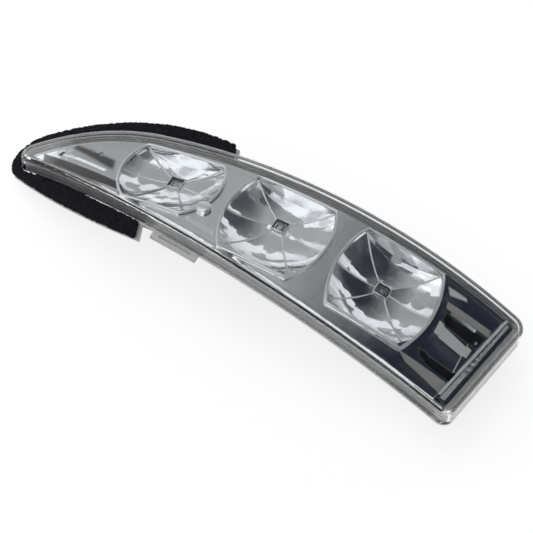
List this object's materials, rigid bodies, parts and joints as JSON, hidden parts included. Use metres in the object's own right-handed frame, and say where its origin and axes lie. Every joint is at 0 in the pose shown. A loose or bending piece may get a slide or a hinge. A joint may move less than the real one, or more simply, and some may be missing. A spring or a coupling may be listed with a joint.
{
  "type": "mirror turn signal lamp",
  "caption": "Arched side repeater lamp for a door mirror: clear lens over a chrome reflector with petal bowls, foam-edged brim round the pointed end, rear socket and screw bosses.",
  "frame": {"origin": "centre of the lamp's outline on the mounting plane through the three boss faces, its lowest plane", "axes": "+X along the lamp to the blunt end (the pointed tip is at -X), +Y across it to the straighter long side, +Z out through the lens; the mounting faces look to -Z"},
  "size_m": [0.2167, 0.0716, 0.042],
  "materials": {
    "lens_clear": "clear polished plastic",
    "weld_bead": "matt",
    "bezel_grey": "satin",
    "chrome_film": "mirror metallised",
    "frosted_plastic": "frosted",
    "housing_grey": "fine matt",
    "foam_black": "open cell foam",
    "board_white": "solder resist",
    "led_case": "satin",
    "led_silicone": "clear silicone",
    "component_black": "matt",
    "tinned_wire": "tinned",
    "screw_steel": "zinc plated",
    "socket_black": "fine matt",
    "seal_rubber": "soft",
    "cap_black": "fine matt",
    "membrane_white": "fine woven",
    "insert_brass": "machined"
  },
  "bodies": {
    "root": {"outer_lens": "lens_clear", "lens_weld": "weld_bead", "bezel_frame": "bezel_grey", "reflector": "chrome_film", "end_diffuser": "frosted_plastic", "housing": "housing_grey", "foam_gasket": "foam_black", "board_tip": "board_white", "board_middle": "board_white", "board_end": "board_white", "led_tip": "led_case", "led_middle": "led_case", "led_end": "led_case", "led_domes": "led_silicone", "board_resistors": "component_black", "board_diodes": "component_black", "board_links": "tinned_wire", "board_screws": "screw_steel", "reflector_screws": "screw_steel", "connector_socket": "socket_black", "connector_pins": "tinned_wire", "socket_seal": "seal_rubber", "vent_cap": "cap_black", "vent_membrane": "membrane_white", "mount_inserts": "insert_brass"}
  },
  "joints": []
}
